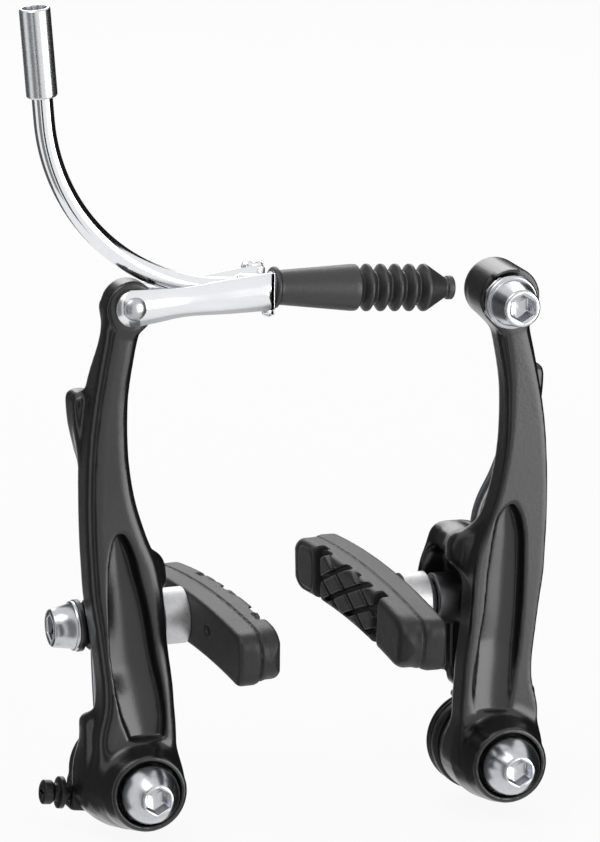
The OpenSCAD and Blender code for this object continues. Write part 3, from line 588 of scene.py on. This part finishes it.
def blanked(outline, low, high, normal="y", bevel=0.22):
    """Points and faces of a sheet blank with eased edges."""
    shape = bmesh.new()
    order = (lambda a, b, t: (a, t, b)) if normal == "y" else (lambda a, b, t: (t, a, b))
    face = shape.faces.new([shape.verts.new(order(a, b, low)) for a, b in outline])
    up = shape.faces.new([shape.verts.new(order(a, b, high)) for a, b in reversed(outline)])
    n = len(outline)
    a, b = list(face.verts), list(reversed(up.verts))
    for k in range(n):
        shape.faces.new((a[k], b[k], b[(k + 1) % n], a[(k + 1) % n]))
    rims = [e for f in (face, up) for e in f.edges]
    bmesh.ops.bevel(shape, geom=rims, offset=bevel, segments=3, affect="EDGES", clamp_overlap=True)
    bmesh.ops.triangulate(shape, faces=[f for f in shape.faces if len(f.verts) > 4])
    shape.verts.index_update()
    points = np.array([v.co[:] for v in shape.verts])
    faces = [[v.index for v in f.verts] for f in shape.faces]
    shape.free()
    rank = np.lexsort(points.round(4).T)
    seat = np.argsort(rank)
    return points[rank], sorted(tuple(int(seat[k]) for k in f) for f in faces)


def joined(*parts):
    """Points and faces of several blanks as one piece."""
    points, faces, count = [], [], 0
    for p, f in parts:
        points.append(p)
        faces += [tuple(int(k) + count for k in q) for q in f]
        count += len(p)
    return np.vstack(points), faces


def arc_of(r, first_angle, last_angle, step, lift=0.0):
    """Outline points on an arc whose centre is lifted."""
    angles = np.radians(np.arange(first_angle, last_angle, step))
    return [(r * math.cos(a), lift + r * math.sin(a)) for a in angles]


def cheek(top, bottom, low, high):
    """A cheek of the link, round at the pin and ending at top and bottom by the wall."""
    upper = fair([(1.0, 3.78), (6.0, 3.75), (11.5, 3.8), (20.7, 4.9), (link_reach, top)], 6)
    lower = fair([(link_reach, bottom), (20.7, -2.25), (11.5, -2.25), (5.2, -3.15), (1.0, -3.78)], 6)
    eye = arc_of(3.9, 102, 261, 6)[::-1]
    return blanked([*upper.tolist(), *lower.tolist(), *eye], low - pin_y, high - pin_y)


polished_sheet = finish("polished_sheet", (0.80, 0.81, 0.83), 1.0, 0.22, 700.0, 0.000005, spread=0.05,
                        brushed=(0.15, 1.0, 1.0))
half_wide, mouth_r, wall_top, wall_foot = 4.35, 2.35, 5.8, -2.0
end_wall = blanked([(-half_wide, wall_top), (-mouth_r, wall_top)] + arc_of(mouth_r, 180, 361, 15, nose_rise)
                   + [(mouth_r, wall_top), (half_wide, wall_top), (half_wide, wall_foot),
                      (-half_wide, wall_foot)], 29.3, link_reach, normal="x", bevel=0.3)
ear = blanked([(25.6, 5.4), (26.0, 6.7), (27.6, 7.0), (28.2, 6.2), (29.0, 6.2), (29.4, 7.0), (30.4, 6.6),
               (30.4, 5.2)], 3.25, 4.25, bevel=0.2)
tongue = blanked([(27.6, -1.6), (28.0, -3.0), (29.2, -3.5), (30.4, -3.0), (30.4, -1.6)], -4.3, -3.1,
                 bevel=0.2)
points, faces = joined(cheek(5.87, wall_foot, -22.5, -21.3), cheek(6.3, wall_foot, -15.0, -13.8),
                       end_wall, ear, tongue)
piece("folded_link", points, faces, lambda p: p + pin, polished_sheet, "link_body", "link_sheet", "link")

# Link rivet: a plain steel pin with a domed front head, passed through both cheeks and the arm's tongue
# and headed over at the back.
rivet_r = 1.9
points, faces = turned([(-5.9, 0), (-5.85, 0.8), (-5.65, 1.45), (-5.35, 1.95), (-5.0, 2.3), (-4.75, 2.45),
                        (-4.63, 2.4), (-4.6, rivet_r), (4.35, rivet_r), (4.4, 2.3), (4.7, 2.1), (5.0, 1.6),
                        (5.05, 0)], centre=pin, closed=False)
piece("domed_rivet", points, faces, as_is, plain_steel, "link_body", "zinc_steel", "link_rivet")

# Guide tube: a polished metal tube bent through about eighty degrees, so that the cable turns from the
# link up to its housing.
tube_metal = finish("polished_tube", (0.80, 0.81, 0.83), 1.0, 0.11, 800.0, 0.000003, spread=0.05)
tube_r, bend_r, bend_start, bend = 2.2, 41, -10.5, math.radians(81.3)


def on_slope(p):
    """Places points of the guide tube's own frame, whose x axis runs along its straight end."""
    return dipped(p, slope) + nose_end


arc = [(bend_start - bend_r * math.sin(a), 0, bend_r * (1 - math.cos(a))) for a in np.linspace(0, bend, 60)]
straight = [(-4.0 - k, 0, 0) for k in (0, 2, 4, 6)]
top_end = np.array(arc[-1])
rise = np.array((-math.cos(bend), 0, math.sin(bend)))
tail = [tuple(top_end + rise * k) for k in (1.5, 3, 5, 7, 9)]
points, faces = drawn(straight + arc + tail, tube_r, 40)
piece("bent_guide_tube", points, faces, on_slope, tube_metal, "noodle_body", "tube_metal", "noodle_tube")

# Tube lining: a thin white polymer sleeve drawn into the tube so that the cable slides. It shows a little
# down the ferrule, and is the CAD solid with a finish of its own.
lining = finish("white_lining", (0.82, 0.82, 0.80), 0.0, 0.40, 1500.0, 0.00001, spread=0.05)
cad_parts["noodle_liner"].data.materials.clear()
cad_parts["noodle_liner"].data.materials.append(lining)


# Ferrule: a turned and polished cup pressed on the tube's upper end, open at the top for the end of the
# cable's housing.
satin_metal = finish("satin_ferrule", (0.66, 0.67, 0.69), 1.0, 0.27, 1200.0, 0.000006, spread=0.08)


def on_tail(p):
    """Places points whose x axis runs up the tube's last straight stretch."""
    across_tail = np.array((rise[2], 0, -rise[0]))
    along, aside, off = p[:, :1], p[:, 1:2], p[:, 2:]
    return on_slope(top_end + rise * ferrule_from + along * rise + aside * np.array((0, 1, 0))
                    + off * across_tail)


ferrule_from, tube_seat_r = 5, 2.26
points, faces = turned(eased([
    (0, tube_seat_r), (0, 2.9), (0.4, 3.25), (18.4, 3.25), (18.7, 2.95), (18.7, 2.56), (5.6, 2.56),
    (5.5, 1.1), (4.2, 1.1), (4.15, tube_seat_r)], 0.15), axis="x")
piece("housing_ferrule", points, faces, on_tail, satin_metal, "noodle_body", "tube_metal", "noodle_ferrule")

# Nose: the turned metal tip that is pressed on the tube's lower end. It drops into the link's slot, and its
# shoulder takes the pull.
points, faces = turned(eased([
    (-7, tube_seat_r), (-7, 2.7), (-6.4, 3.0), (-1.5, 3.0), (-1.5, 2.44), (4, 2.44), (7, 1.8), (7, 0.9),
    (-3.9, 0.9), (-3.9, tube_seat_r)], 0.15), axis="x")
piece("tube_nose", points, faces, on_slope, tube_metal, "noodle_body", "tube_metal", "noodle_nose")

# Boot: one soft black rubber moulding with a collar, a tapered neck and five folds, pushed over the nose.
# It keeps dirt off the cable and folds up as the arms close.
boot_rubber = finish("boot_rubber", (0.017, 0.017, 0.018), 0.0, 0.42, 1300.0, 0.00006, spread=0.3,
                     shine=0.7)
boot_gap, boot_travel, folds = 0.5, 12, 5
boot_l = pivot_gap - 12.4 + 3.425 - link_reach - boot_gap
first, pitch, fold_r, valley_r = boot_l - 19.1, 3.15, 4.98, 3.35
outside = [(0, 4.05), (0.4, 4.35), (1.0, 4.35), (1.4, 3.66), (2.1, 3.66), (first - 3.5, 4.9),
           (first - 2.5, 4.85)]
for k in range(folds):
    fold = first + k * pitch
    outside += [(fold - pitch / 2 + 0.15, valley_r), (fold - 0.28, fold_r), (fold + 0.28, fold_r)]
    if k < folds - 1:
        outside += [(fold + pitch / 2 - 0.15, valley_r)]
outside += [(boot_l - 1.95, 2.2), (boot_l - 1.6, 2.2), (boot_l - 1.4, 2.5), (boot_l - 0.3, 2.5),
            (boot_l, 2.2)]
inside = [(boot_l, 1.15), (boot_l - 2.6, 1.15), (first + 13, 2.5), (first - 1, 2.7), (first - 4, 3.4),
          (6, 2.5), (0, 2.5)]
points, faces = turned(eased(outside + inside, 0.2), axis="x")
boot = piece("bellows_boot", points, faces, lambda p: on_slope(p + (boot_gap, 0, 0)), boot_rubber,
             "boot_body", "boot_rubber", "boot")
boot_axis = np.array((math.cos(math.radians(slope)), 0, -math.sin(math.radians(slope))))
boot_tip = nose_end + (boot_gap + boot_l) * boot_axis
tuple(boot_tip * 0.001)
1 - boot_travel / boot_l
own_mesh(boot)

# Cable anchor: an M6 bolt with a tapered head and a hexagon socket over an eight-sided washer, both zinc
# plated. The bolt goes through the right arm's head, and the washer clamps down on it.
anchor = np.array((0, 0, right_height))
washer_front, washer_back = -19.8, -18.0
washer = blanked([(-2.6, -5.2), (2.6, -5.2), (5.2, -2.6), (5.2, 2.6), (2.6, 5.2), (-2.6, 5.2), (-5.2, 2.6),
                  (-5.2, -2.6)], washer_front, washer_back, bevel=0.3)
piece("anchor_plate", *washer, lambda p: right_side(p + anchor), bright_zinc, "right_arm_body", "zinc_steel",
      "anchor_washer")
anchor_profile = [
    (-5.5, 0), (-5.5, 2.5), (-6, shank_r), (washer_front, shank_r), (washer_front, 5.5), (-20.0, 5.7),
    (-20.2, 5.75), (-20.8, 5.75), (-21.05, 5.62), (-21.2, 5.35), (-21.25, 4.95), (-21.5, 4.85),
    (-26.7, 4.05), (-27.05, 3.95), (-27.25, 3.75), (-27.3, 3.5), (-27.3, key_r + 0.12, 1),
    (-27.1, key_r, 1), (-23.4, key_r - 0.02, 1), (-23.3, key_r - 0.2, 1), (-22.8, 0)]
points, faces = turned(anchor_profile, closed=False)
piece("anchor_bolt_head", points, faces, lambda p: right_side(p + anchor), bright_zinc, "right_arm_body",
      "zinc_steel", "anchor_bolt")

# Pads: moulded rubber shoes that follow the rim. A tougher backing carries the friction layer, which has
# a wide groove near each end and a lattice of narrow ones between.
pad_rubber = finish("pad_rubber", (0.022, 0.022, 0.023), 0.0, 0.44, 1500.0, 0.00008, spread=0.22, shine=0.35,
                    speckle=0.10)
rim_r, pad_half_high, pad_face = 300, 5.75, 9.7
panel_half, wide_floor, narrow_floor, wide_low, wide_high = 4.6, 7.3, 8.2, -28.2, 13.0
lattice_low, lattice_high, lattice_middle, rising_gap, falling_gap = -24.0, 9.4, 16.1, 5.3, 7.1


def shoe(x, y, z, low, high, panel_end):
    """A pad about its post: x from its back to its face, y along it from low to high, z up from the post."""
    v = np.sqrt(y ** 2 + (z + rim_r) ** 2) - rim_r
    s = rim_r * np.arctan2(y, z + rim_r)
    ends = slab(s, low, high)
    share = np.clip((x - 3.5) / 3, 0, 1)
    rim = (corner(ends, np.abs(v) - pad_half_high, 7.0) * share
           + corner(ends, np.abs(v) - pad_half_high, 3.6) * (1 - share))
    body = corner(np.maximum(corner(rim, x - pad_face, 1.8), corner(ends, x - pad_face, 4.0)), -x, 1.0)
    body = body + 0.4 * np.exp(-((x - 4.9) / 0.22) ** 2)
    panel = corner(slab(s, low + panel_half, panel_end), np.abs(v) - panel_half, 3.0)
    body = body + 0.3 * np.exp(-(panel / 0.25) ** 2) * (x > 8.5)
    wide = np.minimum(slab(s, lattice_high, wide_high), slab(s, wide_low, lattice_low))
    rising = np.abs(((v + 0.1 - 0.40 * (s + lattice_middle)) / rising_gap + 0.5) % 1 - 0.5) * rising_gap
    falling = np.abs(((v + 0.1 + 0.39 * (s + lattice_middle)) / falling_gap + 0.5) % 1 - 0.5) * falling_gap
    narrow = np.minimum(rising_gap / 2 - rising, falling_gap / 2 - falling) * 0.93 - 0.60
    narrow = corner(corner(narrow, slab(s, lattice_low, lattice_high), 0.2), -4.7 - v, 0.3)
    grooves = np.minimum(corner(wide, wide_floor - x, 0.3), corner(narrow, narrow_floor - x, 0.3))
    mark = np.sqrt(((s + 17) / 1.9) ** 2 + ((v - 0.5) / 1.1) ** 2) - 1
    return corner(corner(body, -grooves, 0.25), -np.maximum(mark, x - 0.6), 0.3)


def on_post(arm_side, back, turn, way):
    """Placing function for a pad: how far out its back is, its turn and which way it runs."""
    c, s = math.cos(math.radians(turn)), math.sin(math.radians(turn))

    def place(p):
        y, z = way * p[:, 1], p[:, 2]
        return arm_side(np.stack([p[:, 0] + back, y * c + z * s + post_y, z * c - y * s + post_z], 1))
    return place


for side, place, low, high, panel_end in (("left", on_post(left_side, 14.7, 2, 1), -38.6, 35, -22.5),
                                          ("right", on_post(right_side, 17.9, -2.65, -1), -43.6, 30, -29.2)):
    points, quads = cast((-0.8, low - 1.5, -9.5), (10.6, high + 1.5, 7), 0.25,
                         lambda x, y, z: shoe(x, y, z, low, high, panel_end))
    piece(f"{side}_brake_shoe", points, quads, place, pad_rubber, f"{side}_arm_body", "pad_rubber",
          f"{side}_pad")


# What clamps each pad: a threaded post, a cupped washer with a domed spacer on either side of the arm's
# flange, and a nut with a hexagon socket, all of steel. The domes let the pad be set to the rim.
def cupped(x0, t, way):
    """Section of a cupped washer that starts at x0 and is t thick, facing way."""
    rim = x0 + way * t
    dip, dip_r = 1.3, 4.6
    hollow = [(rim - way * dip * (1 - (r / dip_r) ** 2), r) for r in (dip_r, 4.1, 3.7)]
    return eased([(x0, 3.7), (x0, 5.5), (rim - way * 0.4, 5.5), (rim, 5.1)] + hollow, 0.15)


def domed(x0, t, r, way):
    """Section of a domed spacer whose ball of 7 mm sits in the cup before x0."""
    ball_r, hole_r = 7, 3.32
    ball = [(x0 - way * 1.25 + way * (ball_r - math.sqrt(ball_r ** 2 - b * b)), b)
            for b in (hole_r, 4.0, r - 1.4)]
    return eased(ball + [(x0 + way * 1.3, r - 0.6), (x0 + way * 1.5, r), (x0 + way * t, r),
                         (x0 + way * t, hole_r)], 0.15)


dark_steel = finish("dark_plated_steel", (0.10, 0.10, 0.105), 1.0, 0.34, 1300.0, 0.000012)
blasted_steel = finish("blasted_steel", (0.58, 0.58, 0.59), 1.0, 0.46, 1500.0, 0.00003, spread=0.16)
inner_spacer_t, outer_spacer_t, nut_l = 7.0, 2.6, 5.4
for side, place, inner_t, outer_t in (("left", left_side, 2.7, 5.9), ("right", right_side, 5.9, 2.7)):
    pad_back = flange_inner + inner_t + inner_spacer_t
    nut_x = flange_outer - outer_t - outer_spacer_t
    end = nut_x - nut_l
    post = eased([(nut_x - 3.8, 0), (nut_x - 3.8, 2.6), (nut_x - 3.4, shank_r), (pad_back + 0.8, shank_r),
                  (pad_back + 0.8, 0)], 0.1)
    nut = [(nut_x, 3.06), (nut_x, 5.3), (nut_x - 0.2, 5.3), (nut_x - 0.7, 5.3), (nut_x - 0.85, 5.1),
           (nut_x - 0.9, 4.8), (end + 0.5, 4.12), (end + 0.2, 4.0), (end, 3.75), (end, key_r + 0.15, 1),
           (end + 0.2, key_r, 1), (end + 1.5, key_r - 0.05, 1), (end + 1.55, 3.0), (end + 1.6, 3.06)]
    inner_cup, outer_cup = cupped(flange_inner, inner_t, 1), cupped(flange_outer, outer_t, -1)
    inner_spacer = domed(flange_inner + inner_t, inner_spacer_t, 6.0, 1)
    outer_spacer = domed(flange_outer - outer_t, outer_spacer_t, 5.5, -1)
    for name, node, section, closed, material, slot in (
            ("inner_cupped_washer", "inner_cup", inner_cup, True, dark_steel, "dark_steel"),
            ("inner_domed_spacer", "inner_spacer", inner_spacer, True, blasted_steel, "zinc_steel"),
            ("outer_cupped_washer", "outer_cup", outer_cup, True, dark_steel, "dark_steel"),
            ("outer_domed_spacer", "outer_spacer", outer_spacer, True, dark_steel, "dark_steel"),
            ("threaded_post", "pad_stud", post, False, plain_steel, "plain_steel"),
            ("socket_nut", "pad_nut", nut, True, bright_zinc, "zinc_steel")):
        points, faces = turned(section, axis="x", centre=(0, post_y, post_z), closed=closed)
        piece(f"{side}_{name}", points, faces, place, material, f"{side}_arm_body", slot, f"{side}_{node}")
